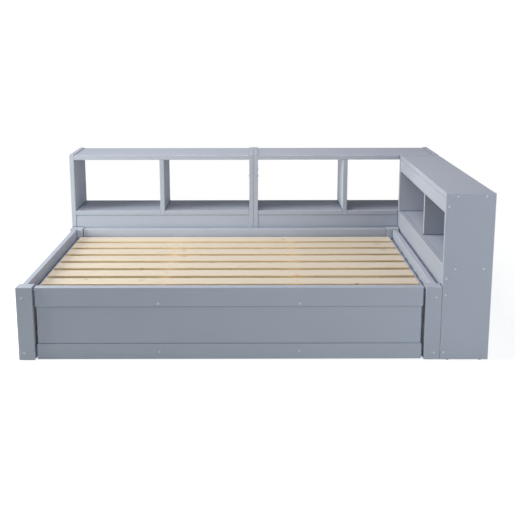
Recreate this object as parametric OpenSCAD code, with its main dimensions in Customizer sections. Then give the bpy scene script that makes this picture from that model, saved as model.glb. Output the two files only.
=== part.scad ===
// Low daybed for a double mattress, with a bookcase along its back and another at its right end.
// Millimetres, +Z up, length along X, back towards +Y, origin on the floor under the middle.

/* [Mattress] */
// Length of the mattress that the bed holds
mattress_l = 2000; // [1900:10:2100]
// Width of the mattress
mattress_w = 1400; // [1200:10:1600]
// Free space at the head and at the foot of the mattress
end_play = 18; // [8:1:40]
// Free space along each long side of the mattress
side_play = 6; // [2:1:20]

/* [Posts] */
// Side of the square corner posts
post_w = 80; // [76:1:100]
// Height of the posts above the floor
post_h = 380; // [350:1:440]

/* [Rails and panels] */
// Thickness of the front and back rails
long_rail_t = 50; // [42:1:60]
// Thickness of the side rails
side_rail_t = 28; // [24:1:36]
// Distance of every rail behind the outer face of the posts
rail_set = 14; // [13:1:20]
// Height of the top rails
top_rail_h = 98; // [84:1:120]
// Step from the top of the posts down to the top rails
rail_drop = 4; // [1:1:10]
// Height of the bottom rails
bottom_rail_h = 80; // [66:1:100]
// Open joint between a front rail's shoulder and the post
rail_gap = 12; // [3:1:15]
// Open joint between a back rail's shoulder and the post
back_rail_gap = 3; // [1:1:15]
// Length of the rail tenons inside the posts
tenon_l = 12; // [8:1:16]
// Height cut off the top and bottom of a rail at its tenon
tenon_shoulder = 12; // [6:1:14]
// Thickness of the tenons of the long rails
long_tenon_t = 26; // [20:1:32]
// Thickness of the tenons of the side rails
side_tenon_t = 15; // [13:1:18]
// Thickness of the panels between the rails
panel_t = 12; // [8:1:12]
// Distance of the panels behind the rail faces
panel_set = 5; // [3:1:7]
// Depth of the panels in the grooves of the rails
panel_tongue = 6; // [4:1:6]
// Open joint between the front panel and the posts
panel_gap = 17; // [9:1:20]
// Play at each end of the side panel
panel_play = 1; // [1:1:4]

/* [Slats and their supports] */
// Width of a slat
slat_w = 124; // [100:1:132]
// Thickness of a slat
slat_t = 20; // [16:1:23]
// Depth of the slat tops below the rail tops
slat_drop = 46; // [36:1:49]
// Free space at each end of the slats
slat_end_gap = 25; // [10:1:30]
// Free space in front of the first slat and behind the last
slat_margin = 24; // [20:1:40]
// Width of the ledgers under the slat ends
ledger_w = 45; // [40:1:60]
// Height of the ledgers
ledger_h = 32; // [28:1:40]
// Space between the ledgers and the posts
ledger_play = 1; // [1:1:4]
// Width of the cross-beams, their legs and their stretchers
beam_w = 45; // [36:1:60]
// Height of the cross-beams
beam_h = 32; // [30:1:45]
// Depth of the cross-beam bolts below the beam tops
beam_bolt_drop = 17; // [14:1:18]
// Height of the stretchers on the floor
stretcher_h = 78; // [60:1:90]
// Distance of the legs from the bed's front and back faces
leg_inset = 462; // [300:2:600]
// Side of the square tenons of the legs
leg_tenon_w = 24; // [18:1:30]
// Length of the tenons of the legs
leg_tenon_l = 15; // [10:1:20]

/* [Bookcases] */
// Height of the bookcases
case_h = 850; // [760:5:950]
// Thickness of the bookcase boards
board_t = 28; // [24:1:32]
// Thickness of the thin bookcase panels
thin_t = 18; // [16:1:20]
// Depth of the bookcase behind the bed
back_case_d = 415; // [360:5:460]
// Depth of the bookcase at the end of the bed
side_case_d = 244; // [220:2:300]
// Height of the back bookcase's end boards above its tops
top_lip = 5; // [3:1:10]
// Height of the side bookcase's end boards above its top
side_lip = 2; // [1:0.5:8]
// Height of the shelf tops above the floor
shelf_z = 486; // [450:2:540]
// Space behind the shelves, for cables
shelf_back_gap = 10; // [0:1:30]
// Distance of the lower panels behind the shelf edges
lower_panel_set = 3; // [1:1:6]
// Distance of the side bookcase boards behind its end boards
side_case_set = 3; // [1:1:6]
// Height of the upper fascia of the side bookcase
upper_fascia_h = 73; // [60:1:100]
// Height of the lower fascia of the side bookcase
lower_fascia_h = 128; // [110:1:160]
// Open joint under the lower fascia
fascia_gap = 1; // [1:1:3]
// Depth of the housing in the side shelf that the divider stands in
housing_d = 4; // [2:1:8]

/* [Bolts and caps] */
// Diameter of the frame bolts
bolt_d = 8; // [6:1:8]
// Extra width of the holes that the frame bolts pass through
bolt_play = 1; // [0.5:0.1:1.5]
// Length of the frame bolts beyond their nuts
bolt_end = 2; // [1:1:4]
// Diameter of the bolt heads
bolt_head_d = 13; // [11:1:13]
// Thickness of the bolt heads
bolt_head_t = 5; // [4:1:6]
// Diameter of the cross dowel nuts
nut_d = 14; // [12:1:14]
// Distance of the nuts from the rail shoulders
nut_set = 40; // [30:1:60]
// Length of the nuts
nut_l = 18; // [14:1:20]
// Height of the long rail bolts above the middle of the rails
bolt_rise = 18; // [16:1:19]
// Depth of the lower side rail bolts below the middle of the rails
bolt_fall = 4; // [0:1:6]
// Diameter of the round caps over bolts and screws
cap_d = 15; // [14:1:16]
// Depth of the caps in their bores
cap_depth = 5; // [4:1:6]
// Height of the domed caps above the surface
cap_dome = 2; // [1:0.5:3]
// Space between a cap and the head below it
cap_air = 0.6; // [0.4:0.1:2]

/* [Screws and fittings] */
// Diameter of the case screws
case_screw_d = 7; // [5:1:7]
// Length of the case screws under the head
case_screw_l = 50; // [45:1:60]
// Diameter of the case screw heads
case_head_d = 11; // [9:1:13]
// Thickness of the case screw heads
case_head_t = 3; // [2:0.5:4]
// Distance of the first case screw from a bookcase's front edges
screw_front = 57; // [50:1:70]
// Distance of the last case screw from a bookcase's back edges
screw_back = 46; // [40:1:60]
// Distance of the outer screws of a panel or fascia from its edges
panel_screw_in = 39; // [25:1:50]
// Diameter of the wood screws
screw_d = 4; // [3:0.5:5]
// Diameter of the wood screw heads
screw_head_d = 9; // [8:0.5:10]
// Length of the slat, ledger and panel screws in the piece behind
short_bite = 15; // [10:1:17]
// Length of the top board screws in the board below
long_bite = 40; // [25:1:50]
// Diameter of the shelf cams
cam_d = 12; // [10:1:15]
// Depth of the shelf cams
cam_h = 20; // [18:1:22]
// Distance of the shelf cams from the uprights
cam_set = 50; // [30:1:60]
// Distance of the shelf cams from the shelf's front and back edges
cam_edge = 90; // [50:1:110]
// Diameter of the cam pins
pin_d = 6; // [5:1:7]
// Depth of the cam pins in the uprights
pin_bite = 10; // [7:1:11]
// Diameter of the connector heads between the two back units
connector_head_d = 14; // [12:1:18]
// Thickness of the connector heads
connector_head_t = 3; // [2:0.5:4]
// Height of the upper connectors
connector_high_z = 706; // [600:2:740]
// Height of the lower connectors
connector_low_z = 230; // [150:2:300]
// Distance of the connectors from the bookcase's front and back edges
connector_in = 60; // [40:1:90]
// Wall of the connector sleeves
sleeve_wall = 1.5; // [1:0.25:2]
// Diameter of the floor glides
glide_d = 20; // [16:1:24]
// Thickness of the floor glides
glide_t = 3; // [2:0.5:5]
// Diameter of the glide nails
nail_d = 3; // [2:0.5:4]
// Length of the glide nails in the wood
nail_l = 12; // [8:1:16]
// Distance of the glides from the ends of the boards they carry
glide_in = 40; // [30:1:60]

/* [Finish] */
// Radius of the eased edges
ease_r = 2.5; // [1:0.5:4]
// Clearance round each tenon, tongue, bolt, screw and nut
fit = 0.2; // [0.1:0.05:0.4]

/* [Hidden] */

paint = "#9aa2b4";
pine = "#e4d3bd";
steel = "#a9abad";
gilt = "#b08a3e";
plastic = "#30343a";

// How far a cut runs past the surface that it opens
over = 1;
slat_count = 8;

// Plan of the bed, from its front left corner
well_l = mattress_l + 2 * end_play;
well_w = mattress_w + 2 * side_play;
side_inner = rail_set + side_rail_t;
long_inner = rail_set + long_rail_t;
bed_l = well_l + 2 * side_inner;
bed_w = well_w + 2 * long_inner;
total_l = bed_l + side_case_d;
total_w = bed_w + back_case_d;
x_shift = -total_l / 2;
y_shift = -(total_w - cap_dome) / 2;

// Heights
rail_top = post_h - rail_drop;
rail_z = [rail_top - top_rail_h, glide_t];
rail_h = [top_rail_h, bottom_rail_h];
rail_mid = [for (i = [0, 1]) rail_z[i] + rail_h[i] / 2];
side_bolt_z = [rail_mid[0], rail_mid[1] - bolt_fall];
long_bolt_z = [rail_mid[0] + bolt_rise, rail_mid[1] + bolt_rise];
slat_top = rail_top - slat_drop;
beam_top = slat_top - slat_t;
beam_bolt_z = beam_top - beam_bolt_drop;
stretcher_bolt_z = glide_t + stretcher_h / 2;
shelf_bottom = shelf_z - board_t;
top_z = case_h - top_lip;
top_under = top_z - board_t;

// Rails and panels
long_mid = rail_set + long_rail_t / 2;
side_mid = rail_set + side_rail_t / 2;
mortise_l = tenon_l + 2 * fit;
groove_t = panel_t + 2 * fit;
panel_in = rail_set + panel_set;
panel_z = rail_z[1] + bottom_rail_h - panel_tongue;
panel_h = rail_z[0] + panel_tongue - panel_z;

// Slats and beams
slat_x = side_inner + slat_end_gap;
slat_l = bed_l - 2 * slat_x;
slat_first = long_inner + slat_margin;
slat_pitch = (well_w - 2 * slat_margin - slat_w) / (slat_count - 1);
slat_mid = [for (i = [0 : slat_count - 1]) slat_first + slat_w / 2 + i * slat_pitch];
ledger_in = side_inner + ledger_w;
ledger_y = post_w + ledger_play;
ledger_l = bed_w - 2 * ledger_y;
beam_x = [bed_l / 3, 2 * bed_l / 3];
leg_y = [leg_inset, bed_w - leg_inset];
slat_screw_x = [(slat_x + ledger_in) / 2, beam_x[0], beam_x[1], bed_l - (slat_x + ledger_in) / 2];
ledger_screw_n = 5;
ledger_screw_step = ledger_l / ledger_screw_n;
ledger_screw_y = [for (i = [0 : ledger_screw_n - 1]) ledger_y + ledger_screw_step * (i + 0.5)];
ledger_screw_z = beam_top - ledger_h / 2;

// Bookcases
unit_w = total_l / 2;
bay_w = (unit_w - 3 * board_t) / 2;
inner_w = unit_w - 2 * board_t;
bay_x = [board_t, 2 * board_t + bay_w];
back_y = bed_w;
shelf_d = back_case_d - shelf_back_gap;
panel_y = back_y + lower_panel_set;
notch_d = lower_panel_set + thin_t;
upright_h = case_h - glide_t;
divider_h = top_under - glide_t;
lower_panel_h = shelf_bottom - glide_t;
back_screw_y = [back_y + screw_front, total_w - screw_back];
shelf_mid_z = shelf_z - board_t / 2;
top_mid_z = top_under + board_t / 2;
panel_screw_z = [glide_t + panel_screw_in, shelf_bottom - panel_screw_in];
panel_screw_y = panel_y + thin_t / 2;
divider_screw_z = [glide_t + panel_screw_in, rail_top - panel_screw_in];
side_x = bed_l;
side_face = side_x + side_case_set;
fascia_back = side_face + board_t;
side_back = total_l - thin_t;
side_l = bed_w - 2 * board_t;
side_screw_x = [side_x + screw_front, total_l - screw_back];
side_shelf_w = side_back - fascia_back;
side_shelf_x = [fascia_back + board_t, side_back - board_t];
fascia_mid = side_face + board_t / 2;
lower_fascia_z = shelf_z - lower_fascia_h;
side_top_z = case_h - side_lip;
side_top_under = side_top_z - board_t;
side_top_mid_z = side_top_under + board_t / 2;
upper_fascia_z = side_top_under - upper_fascia_h;
side_panel_h = lower_fascia_z - fascia_gap - glide_t;
side_panel_screw_z = [glide_t + panel_screw_in, lower_fascia_z - fascia_gap - panel_screw_in / 2];
side_divider_y = (bed_w - board_t) / 2;
quarter_y = [bed_w / 4, 3 * bed_w / 4];

// Hardware
bolt_hole = bolt_d + bolt_play;
cap_bore = cap_d + 2 * fit;
bolt_bore = cap_depth + cap_air + bolt_head_t;
case_bore = cap_depth + cap_air + case_head_t;
nut_bore = nut_d + 2 * fit;
bolt_past = nut_d / 2 + bolt_end;
case_hole = case_screw_d + 2 * fit;
screw_hole = screw_d + 2 * fit;
dome_r = (cap_d * cap_d / 4 + cap_dome * cap_dome) / (2 * cap_dome);
connector_y = [back_y + connector_in, total_w - connector_in];
connector_z = [connector_low_z, connector_high_z];
shelf_cam_y = [back_y + cam_edge, back_y + shelf_d - cam_edge];

// Shapes that many pieces share

module placed() {
    translate([x_shift, y_shift, 0]) children();
}

module eased_outline(size) {
    translate([ease_r, 0]) square([size.x - 2 * ease_r, size.y]);
    translate([0, ease_r]) square([size.x, size.y - 2 * ease_r]);
    for (x = [ease_r, size.x - ease_r], y = [ease_r, size.y - ease_r])
        translate([x, y]) circle(ease_r, $fn = 24);
}

// A board cut square at both ends, with only the four edges along its length eased
module board_x(at, size) {
    translate(at) rotate([90, 0, 90]) linear_extrude(size.x) eased_outline([size.y, size.z]);
}

module board_y(at, size) {
    translate(at) translate([0, size.y, 0]) rotate([90, 0, 0])
        linear_extrude(size.y) eased_outline([size.x, size.z]);
}

module board_z(at, size) {
    translate(at) linear_extrude(size.z) eased_outline([size.x, size.y]);
}

// A board with all twelve edges eased
module eased_board(at, size) {
    intersection() {
        board_x(at, size);
        board_y(at, size);
        board_z(at, size);
    }
}

// Point child +Z along +X, -X, +Y, -Y or -Z
module to_right() { rotate([0, 90, 0]) children(); }
module to_left() { rotate([0, -90, 0]) children(); }
module to_back() { rotate([-90, 0, 0]) children(); }
module to_front() { rotate([90, 0, 0]) children(); }
module downward() { rotate([180, 0, 0]) children(); }

module hole(d, l) {
    translate([0, 0, -over]) cylinder(d = d, h = l + over, $fn = 32);
}

// A bolt's clearance hole and its counterbore, drilled along +Z from the surface
module bolt_cut(l) {
    hole(bolt_hole, l);
    hole(cap_bore, bolt_bore);
}

module case_screw_cut() {
    hole(case_hole, case_bore + case_screw_l + fit);
    hole(cap_bore, case_bore);
}

module screw_cut(l) {
    hole(screw_hole, l + fit);
    translate([0, 0, -fit]) cylinder(d1 = screw_head_d + 4 * fit, d2 = screw_hole,
        h = (screw_head_d - screw_d) / 2 + 2 * fit, $fn = 32);
}

// Corner posts

module post_mortise(x, y, l, w, i) {
    translate([x, y, rail_z[i] + tenon_shoulder - fit])
        cube([l, w, rail_h[i] - 2 * tenon_shoulder + 2 * fit]);
}

module post() {
    color(paint) difference() {
        eased_board([0, 0, glide_t], [post_w, post_w, post_h - glide_t]);
        for (i = [0, 1]) {
            post_mortise(post_w - mortise_l, long_mid - long_tenon_t / 2 - fit,
                mortise_l + over, long_tenon_t + 2 * fit, i);
            post_mortise(side_mid - side_tenon_t / 2 - fit, post_w - mortise_l,
                side_tenon_t + 2 * fit, mortise_l + over, i);
            translate([0, long_mid, long_bolt_z[i]]) to_right() bolt_cut(post_w);
            translate([side_mid, 0, side_bolt_z[i]]) to_back() bolt_cut(post_w);
        }
        translate([post_w / 2, post_w / 2, glide_t]) hole(nail_d + 2 * fit, nail_l + fit);
    }
}

module from_right() { translate([bed_l, 0, 0]) mirror([1, 0, 0]) children(); }
module from_back() { translate([0, bed_w, 0]) mirror([0, 1, 0]) children(); }

module post_front_left() { placed() post(); }
module post_front_right() { placed() from_right() post(); }
module post_back_left() { placed() from_back() post(); }
module post_back_right() { placed() from_right() from_back() post(); }

// Front and back rails: shouldered tenons, a groove for the panel, bolts for posts and cross-beams.
// The nuts of the front rails go in from inside the bed, and those of the back rails from behind.

module long_rail_end(i, front) {
    nut_x = post_w + rail_gap + nut_set;
    nut_hole = long_rail_t / 2 + nut_l / 2 + fit;
    if (front) translate([nut_x, long_inner, long_bolt_z[i]]) to_front() hole(nut_bore, nut_hole);
    if (!front) translate([nut_x, rail_set, long_bolt_z[i]]) to_back() hole(nut_bore, nut_hole);
    translate([post_w - tenon_l, long_mid, long_bolt_z[i]])
        to_right() hole(bolt_hole, tenon_l + rail_gap + nut_set + bolt_past + fit);
}

module long_rail(i, front) {
    z = rail_z[i];
    h = rail_h[i];
    shoulder = post_w + (front ? rail_gap : back_rail_gap);
    cross_z = i == 0 ? beam_bolt_z : stretcher_bolt_z;
    color(paint) difference() {
        union() {
            board_x([shoulder, rail_set, z], [bed_l - 2 * shoulder, long_rail_t, h]);
            translate([post_w - tenon_l, long_mid - long_tenon_t / 2, z + tenon_shoulder])
                cube([bed_l - 2 * (post_w - tenon_l), long_tenon_t, h - 2 * tenon_shoulder]);
        }
        long_rail_end(i, front);
        from_right() long_rail_end(i, front);
        for (x = beam_x) translate([x, rail_set, cross_z]) to_back() bolt_cut(long_rail_t + over);
        if (front) translate([shoulder - over, panel_in - fit,
                i == 0 ? z - over : z + h - panel_tongue - fit])
            cube([bed_l - 2 * shoulder + 2 * over, groove_t, panel_tongue + fit + over]);
    }
}

module front_top_rail() { placed() long_rail(0, true); }
module front_bottom_rail() { placed() long_rail(1, true); }
module back_top_rail() { placed() from_back() long_rail(0, false); }
module back_bottom_rail() { placed() from_back() long_rail(1, false); }

module front_panel() {
    x = post_w + panel_gap;
    color(paint) placed() board_x([x, panel_in, panel_z], [bed_l - 2 * x, panel_t, panel_h]);
}

// Side rails: full shoulders against the posts, ledger screws from inside

module side_rail_end(i) {
    translate([side_inner, post_w + nut_set, side_bolt_z[i]])
        to_left() hole(nut_bore, side_rail_t / 2 + nut_l / 2 + fit);
    translate([side_mid, post_w - tenon_l, side_bolt_z[i]])
        to_back() hole(bolt_hole, tenon_l + nut_set + bolt_past + fit);
}

module side_rail(i, grooved) {
    z = rail_z[i];
    h = rail_h[i];
    color(paint) difference() {
        union() {
            board_y([rail_set, post_w, z], [side_rail_t, bed_w - 2 * post_w, h]);
            translate([side_mid - side_tenon_t / 2, post_w - tenon_l, z + tenon_shoulder])
                cube([side_tenon_t, bed_w - 2 * (post_w - tenon_l), h - 2 * tenon_shoulder]);
        }
        side_rail_end(i);
        from_back() side_rail_end(i);
        if (i == 0) for (y = ledger_screw_y)
            translate([side_inner, y, ledger_screw_z]) to_left() hole(screw_hole, short_bite + fit);
        if (grooved) translate([panel_in - fit, post_w - over,
                i == 0 ? z - over : z + h - panel_tongue - fit])
            cube([groove_t, bed_w - 2 * post_w + 2 * over, panel_tongue + fit + over]);
    }
}

module left_top_rail() { placed() side_rail(0, true); }
module left_bottom_rail() { placed() side_rail(1, true); }
module right_top_rail() { placed() from_right() side_rail(0, false); }
module right_bottom_rail() { placed() from_right() side_rail(1, false); }

module left_panel() {
    y = post_w + panel_play;
    color(paint) placed() board_y([panel_in, y, panel_z], [panel_t, bed_w - 2 * y, panel_h]);
}

// Slats, the ledgers under their ends and the two cross frames under their thirds

module slat_ledger() {
    color(paint) difference() {
        board_y([side_inner, ledger_y, beam_top - ledger_h], [ledger_w, ledger_l, ledger_h]);
        for (y = slat_mid) translate([slat_screw_x[0], y, beam_top])
            downward() hole(screw_hole, short_bite + fit);
        for (y = ledger_screw_y) translate([ledger_in, y, ledger_screw_z])
            to_left() screw_cut(ledger_w + over);
    }
}

module slat_ledger_left() { placed() slat_ledger(); }
module slat_ledger_right() { placed() from_right() slat_ledger(); }

module cross_end(z, nut_from, nut_to) {
    translate([0, long_inner, z]) to_back() hole(bolt_hole, nut_set + bolt_past + fit);
    translate([0, long_inner + nut_set, nut_from]) hole(nut_bore, nut_to - nut_from);
}

module cross_beam(x) {
    color(pine) placed() translate([x, 0, 0]) difference() {
        board_y([-beam_w / 2, long_inner, beam_top - beam_h], [beam_w, well_w, beam_h]);
        cross_end(beam_bolt_z, beam_top - beam_h, beam_bolt_z + nut_l / 2 + fit);
        from_back() cross_end(beam_bolt_z, beam_top - beam_h, beam_bolt_z + nut_l / 2 + fit);
        for (y = slat_mid) translate([0, y, beam_top]) downward() hole(screw_hole, short_bite + fit);
        for (y = leg_y) leg_mortise(y, beam_top - beam_h - over);
    }
}

module leg_mortise(y, z) {
    w = leg_tenon_w + 2 * fit;
    translate([-w / 2, y - w / 2, z]) cube([w, w, leg_tenon_l + fit + over]);
}

module cross_beam_left() { cross_beam(beam_x[0]); }
module cross_beam_right() { cross_beam(beam_x[1]); }

module stretcher_end() {
    translate([0, long_inner, stretcher_bolt_z]) to_back() hole(bolt_hole, nut_set + bolt_past + fit);
    translate([beam_w / 2, long_inner + nut_set, stretcher_bolt_z])
        to_left() hole(nut_bore, beam_w / 2 + nut_l / 2 + fit);
}

module cross_stretcher(x) {
    color(pine) placed() translate([x, 0, 0]) difference() {
        board_y([-beam_w / 2, long_inner, glide_t], [beam_w, well_w, stretcher_h]);
        stretcher_end();
        from_back() stretcher_end();
        for (y = leg_y) {
            leg_mortise(y, glide_t + stretcher_h - leg_tenon_l - fit);
            translate([0, y, glide_t]) hole(nail_d + 2 * fit, nail_l + fit);
        }
    }
}

module cross_stretcher_left() { cross_stretcher(beam_x[0]); }
module cross_stretcher_right() { cross_stretcher(beam_x[1]); }

module cross_legs() {
    z = glide_t + stretcher_h;
    h = beam_top - beam_h - z;
    color(pine) placed() for (x = beam_x, y = leg_y) {
        board_z([x - beam_w / 2, y - beam_w / 2, z], [beam_w, beam_w, h]);
        translate([x - leg_tenon_w / 2, y - leg_tenon_w / 2, z - leg_tenon_l])
            cube([leg_tenon_w, leg_tenon_w, h + 2 * leg_tenon_l]);
    }
}

module slat(i) {
    color(pine) placed() difference() {
        eased_board([slat_x, slat_mid[i] - slat_w / 2, beam_top], [slat_l, slat_w, slat_t]);
        for (x = slat_screw_x) translate([x, slat_mid[i], slat_top]) downward() screw_cut(slat_t + over);
    }
}

module slat_1() { slat(0); }
module slat_2() { slat(1); }
module slat_3() { slat(2); }
module slat_4() { slat(3); }
module slat_5() { slat(4); }
module slat_6() { slat(5); }
module slat_7() { slat(6); }
module slat_8() { slat(7); }

// Back bookcase: two units side by side, each with two bays, open right through above the shelves.
// Every unit is drawn with its left end at x = 0.

module upright_glides(x) {
    for (y = [back_y + notch_d + glide_in, total_w - glide_in])
        translate([x + board_t / 2, y, glide_t]) hole(nail_d + 2 * fit, nail_l + fit);
}

module unit_end(joined) {
    color(paint) difference() {
        eased_board([0, back_y, glide_t], [board_t, back_case_d, upright_h]);
        for (y = back_screw_y) translate([0, y, top_mid_z]) to_right() case_screw_cut();
        for (z = panel_screw_z) translate([0, panel_screw_y, z]) to_right() case_screw_cut();
        for (y = shelf_cam_y) translate([board_t, y, shelf_mid_z])
            to_left() hole(pin_d + 2 * fit, pin_bite + fit);
        if (joined) for (y = connector_y, z = connector_z)
            translate([0, y, z]) to_right() hole(bolt_hole, board_t + over);
        upright_glides(0);
    }
}

module unit_top() {
    color(paint) difference() {
        board_x([board_t, back_y, top_under], [inner_w, back_case_d, board_t]);
        for (y = back_screw_y) {
            translate([0, y, top_mid_z]) to_right() case_screw_cut();
            translate([unit_w, y, top_mid_z]) to_left() case_screw_cut();
        }
        for (y = shelf_cam_y) translate([unit_w / 2, y, top_z])
            downward() screw_cut(board_t + over);
    }
}

module unit_divider() {
    x = board_t + bay_w;
    color(paint) difference() {
        board_z([x, back_y, glide_t], [board_t, back_case_d, divider_h]);
        translate([x - over, back_y - over, glide_t - over])
            cube([board_t + 2 * over, notch_d + over, lower_panel_h + over]);
        for (y = shelf_cam_y) {
            translate([x, y, shelf_mid_z]) to_right() hole(pin_d + 2 * fit, pin_bite + fit);
            translate([x + board_t, y, shelf_mid_z]) to_left() hole(pin_d + 2 * fit, pin_bite + fit);
            translate([x + board_t / 2, y, top_under]) downward() hole(screw_hole, long_bite + fit);
        }
        for (z = divider_screw_z) translate([x + board_t / 2, back_y + notch_d, z])
            to_back() hole(screw_hole, short_bite + fit);
        upright_glides(x);
    }
}

// One bay's shelf, with its left end at x
module unit_shelf(x) {
    color(paint) difference() {
        board_x([x, back_y, shelf_bottom], [bay_w, shelf_d, board_t]);
        for (y = shelf_cam_y) {
            translate([x, y, shelf_mid_z]) to_right() hole(pin_d + 2 * fit, cam_set);
            translate([x + bay_w, y, shelf_mid_z]) to_left() hole(pin_d + 2 * fit, cam_set);
            for (cx = [x + cam_set, x + bay_w - cam_set])
                translate([cx, y, shelf_z]) downward() hole(cam_d + 2 * fit, cam_h + fit);
        }
    }
}

module unit_panel() {
    color(paint) difference() {
        board_x([board_t, panel_y, glide_t], [inner_w, thin_t, lower_panel_h]);
        for (z = panel_screw_z) {
            translate([0, panel_screw_y, z]) to_right() case_screw_cut();
            translate([unit_w, panel_screw_y, z]) to_left() case_screw_cut();
        }
        for (z = divider_screw_z) translate([unit_w / 2, panel_y, z]) to_back() screw_cut(thin_t + over);
    }
}

module unit_a() { placed() children(); }
module unit_b() { placed() translate([unit_w, 0, 0]) children(); }
module turned() { translate([unit_w, 0, 0]) mirror([1, 0, 0]) children(); }

module back_a_end_left() { unit_a() unit_end(false); }
module back_a_end_right() { unit_a() turned() unit_end(true); }
module back_a_top() { unit_a() unit_top(); }
module back_a_divider() { unit_a() unit_divider(); }
module back_a_shelf_left() { unit_a() unit_shelf(bay_x[0]); }
module back_a_shelf_right() { unit_a() unit_shelf(bay_x[1]); }
module back_a_panel() { unit_a() unit_panel(); }
module back_b_end_left() { unit_b() unit_end(true); }
module back_b_end_right() { unit_b() turned() unit_end(false); }
module back_b_top() { unit_b() unit_top(); }
module back_b_divider() { unit_b() unit_divider(); }
module back_b_shelf_left() { unit_b() unit_shelf(bay_x[0]); }
module back_b_shelf_right() { unit_b() unit_shelf(bay_x[1]); }
module back_b_panel() { unit_b() unit_panel(); }

// Side bookcase: open towards the bed above its shelf, closed by a panel on its outer side

// Where the case screws enter an end board of the side bookcase
side_screws = concat(
    [for (x = side_screw_x) [x, side_top_mid_z]],
    [for (x = side_shelf_x) [x, shelf_mid_z]],
    [for (z = side_panel_screw_z) [fascia_mid, z]],
    [[fascia_mid, lower_fascia_z + lower_fascia_h / 2],
     [fascia_mid, upper_fascia_z + upper_fascia_h / 2]]);

module side_screw_cuts() {
    for (p = side_screws) {
        translate([p.x, 0, p.y]) to_back() case_screw_cut();
        translate([p.x, bed_w, p.y]) to_front() case_screw_cut();
    }
}

module side_end() {
    color(paint) difference() {
        eased_board([side_x, 0, glide_t], [side_case_d, board_t, upright_h]);
        side_screw_cuts();
        for (x = [side_x + glide_in, total_l - glide_in])
            translate([x, board_t / 2, glide_t]) hole(nail_d + 2 * fit, nail_l + fit);
    }
}

module side_board(x, z, size) {
    color(paint) difference() {
        board_y([x, board_t, z], [size.x, side_l, size.y]);
        side_screw_cuts();
        children();
    }
}

module side_front_end() { placed() side_end(); }
module side_rear_end() { placed() from_back() side_end(); }

module side_top() {
    placed() side_board(side_face, side_top_under, [total_l - side_face, board_t]) {
        for (y = quarter_y) translate([fascia_mid, y, side_top_z]) downward() screw_cut(board_t + over);
        for (x = side_shelf_x) translate([x, bed_w / 2, side_top_z]) downward() screw_cut(board_t + over);
    }
}

module side_upper_fascia() {
    placed() side_board(side_face, upper_fascia_z, [board_t, upper_fascia_h])
        for (y = quarter_y) translate([fascia_mid, y, side_top_under])
            downward() hole(screw_hole, long_bite + fit);
}

module side_lower_fascia() {
    placed() side_board(side_face, lower_fascia_z, [board_t, lower_fascia_h]);
}

module side_lower_panel() {
    placed() side_board(side_face, glide_t, [board_t, side_panel_h]);
}

module side_shelf() {
    placed() side_board(fascia_back, shelf_bottom, [side_shelf_w, board_t]) {
        for (y = quarter_y) translate([side_back, y, shelf_mid_z])
            to_left() hole(screw_hole, short_bite + fit);
        translate([fascia_back - over, side_divider_y - fit, shelf_z - housing_d])
            cube([side_shelf_w + 2 * over, board_t + 2 * fit, housing_d + over]);
    }
}

module side_divider() {
    color(paint) placed() difference() {
        board_z([fascia_back, side_divider_y, shelf_z - housing_d],
            [side_shelf_w, board_t, side_top_under - shelf_z + housing_d]);
        for (x = side_shelf_x) translate([x, bed_w / 2, side_top_under])
            downward() hole(screw_hole, long_bite + fit);
    }
}

module side_outer_panel() {
    color(paint) placed() difference() {
        board_y([side_back, board_t, glide_t], [thin_t, side_l, side_top_under - glide_t]);
        for (y = quarter_y) translate([total_l, y, shelf_mid_z]) to_left() screw_cut(thin_t + over);
    }
}

// Hardware: each kind is a group of loose pieces, seated where the pieces above are drilled

module frame_bolt(l) {
    difference() {
        union() {
            translate([0, 0, cap_depth + cap_air]) cylinder(d = bolt_head_d, h = bolt_head_t, $fn = 32);
            translate([0, 0, bolt_bore]) cylinder(d = bolt_d, h = l, $fn = 32);
        }
        translate([0, 0, cap_depth + cap_air - over])
            cylinder(d = bolt_d * 0.6, h = bolt_head_t / 2 + over, $fn = 6);
    }
}

long_bolt_l = post_w + rail_gap + nut_set + bolt_past - bolt_bore;
side_bolt_l = post_w + nut_set + bolt_past - bolt_bore;
cross_bolt_l = long_rail_t + nut_set + bolt_past - bolt_bore;

module corner_bolts() {
    for (i = [0, 1]) {
        translate([0, long_mid, long_bolt_z[i]]) to_right() frame_bolt(long_bolt_l);
        translate([side_mid, 0, side_bolt_z[i]]) to_back() frame_bolt(side_bolt_l);
    }
}

module front_cross_bolts() {
    for (x = beam_x, z = [beam_bolt_z, stretcher_bolt_z])
        translate([x, rail_set, z]) to_back() frame_bolt(cross_bolt_l);
}

module frame_bolts() {
    color(steel) placed() {
        corner_bolts();
        from_right() corner_bolts();
        from_back() corner_bolts();
        from_right() from_back() corner_bolts();
        front_cross_bolts();
        from_back() front_cross_bolts();
    }
}

// A steel cylinder lying along Z, centred on the bolt that crosses it along X
module cross_nut() {
    difference() {
        translate([0, 0, -nut_l / 2]) cylinder(d = nut_d, h = nut_l, $fn = 32);
        translate([-nut_d, 0, 0]) to_right() cylinder(d = bolt_d + fit, h = 2 * nut_d, $fn = 32);
    }
}

module corner_nuts() {
    for (i = [0, 1]) {
        translate([post_w + rail_gap + nut_set, long_mid, long_bolt_z[i]]) to_front() cross_nut();
        translate([side_mid, post_w + nut_set, side_bolt_z[i]])
            rotate([0, 0, 90]) to_front() cross_nut();
    }
}

module front_cross_nuts() {
    for (x = beam_x) {
        translate([x, long_inner + nut_set, beam_bolt_z]) rotate([0, 0, 90]) cross_nut();
        translate([x, long_inner + nut_set, stretcher_bolt_z])
            rotate([0, 0, 90]) to_front() cross_nut();
    }
}

module cross_nuts() {
    color(steel) placed() {
        corner_nuts();
        from_right() corner_nuts();
        from_back() corner_nuts();
        from_right() from_back() corner_nuts();
        front_cross_nuts();
        from_back() front_cross_nuts();
    }
}

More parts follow.
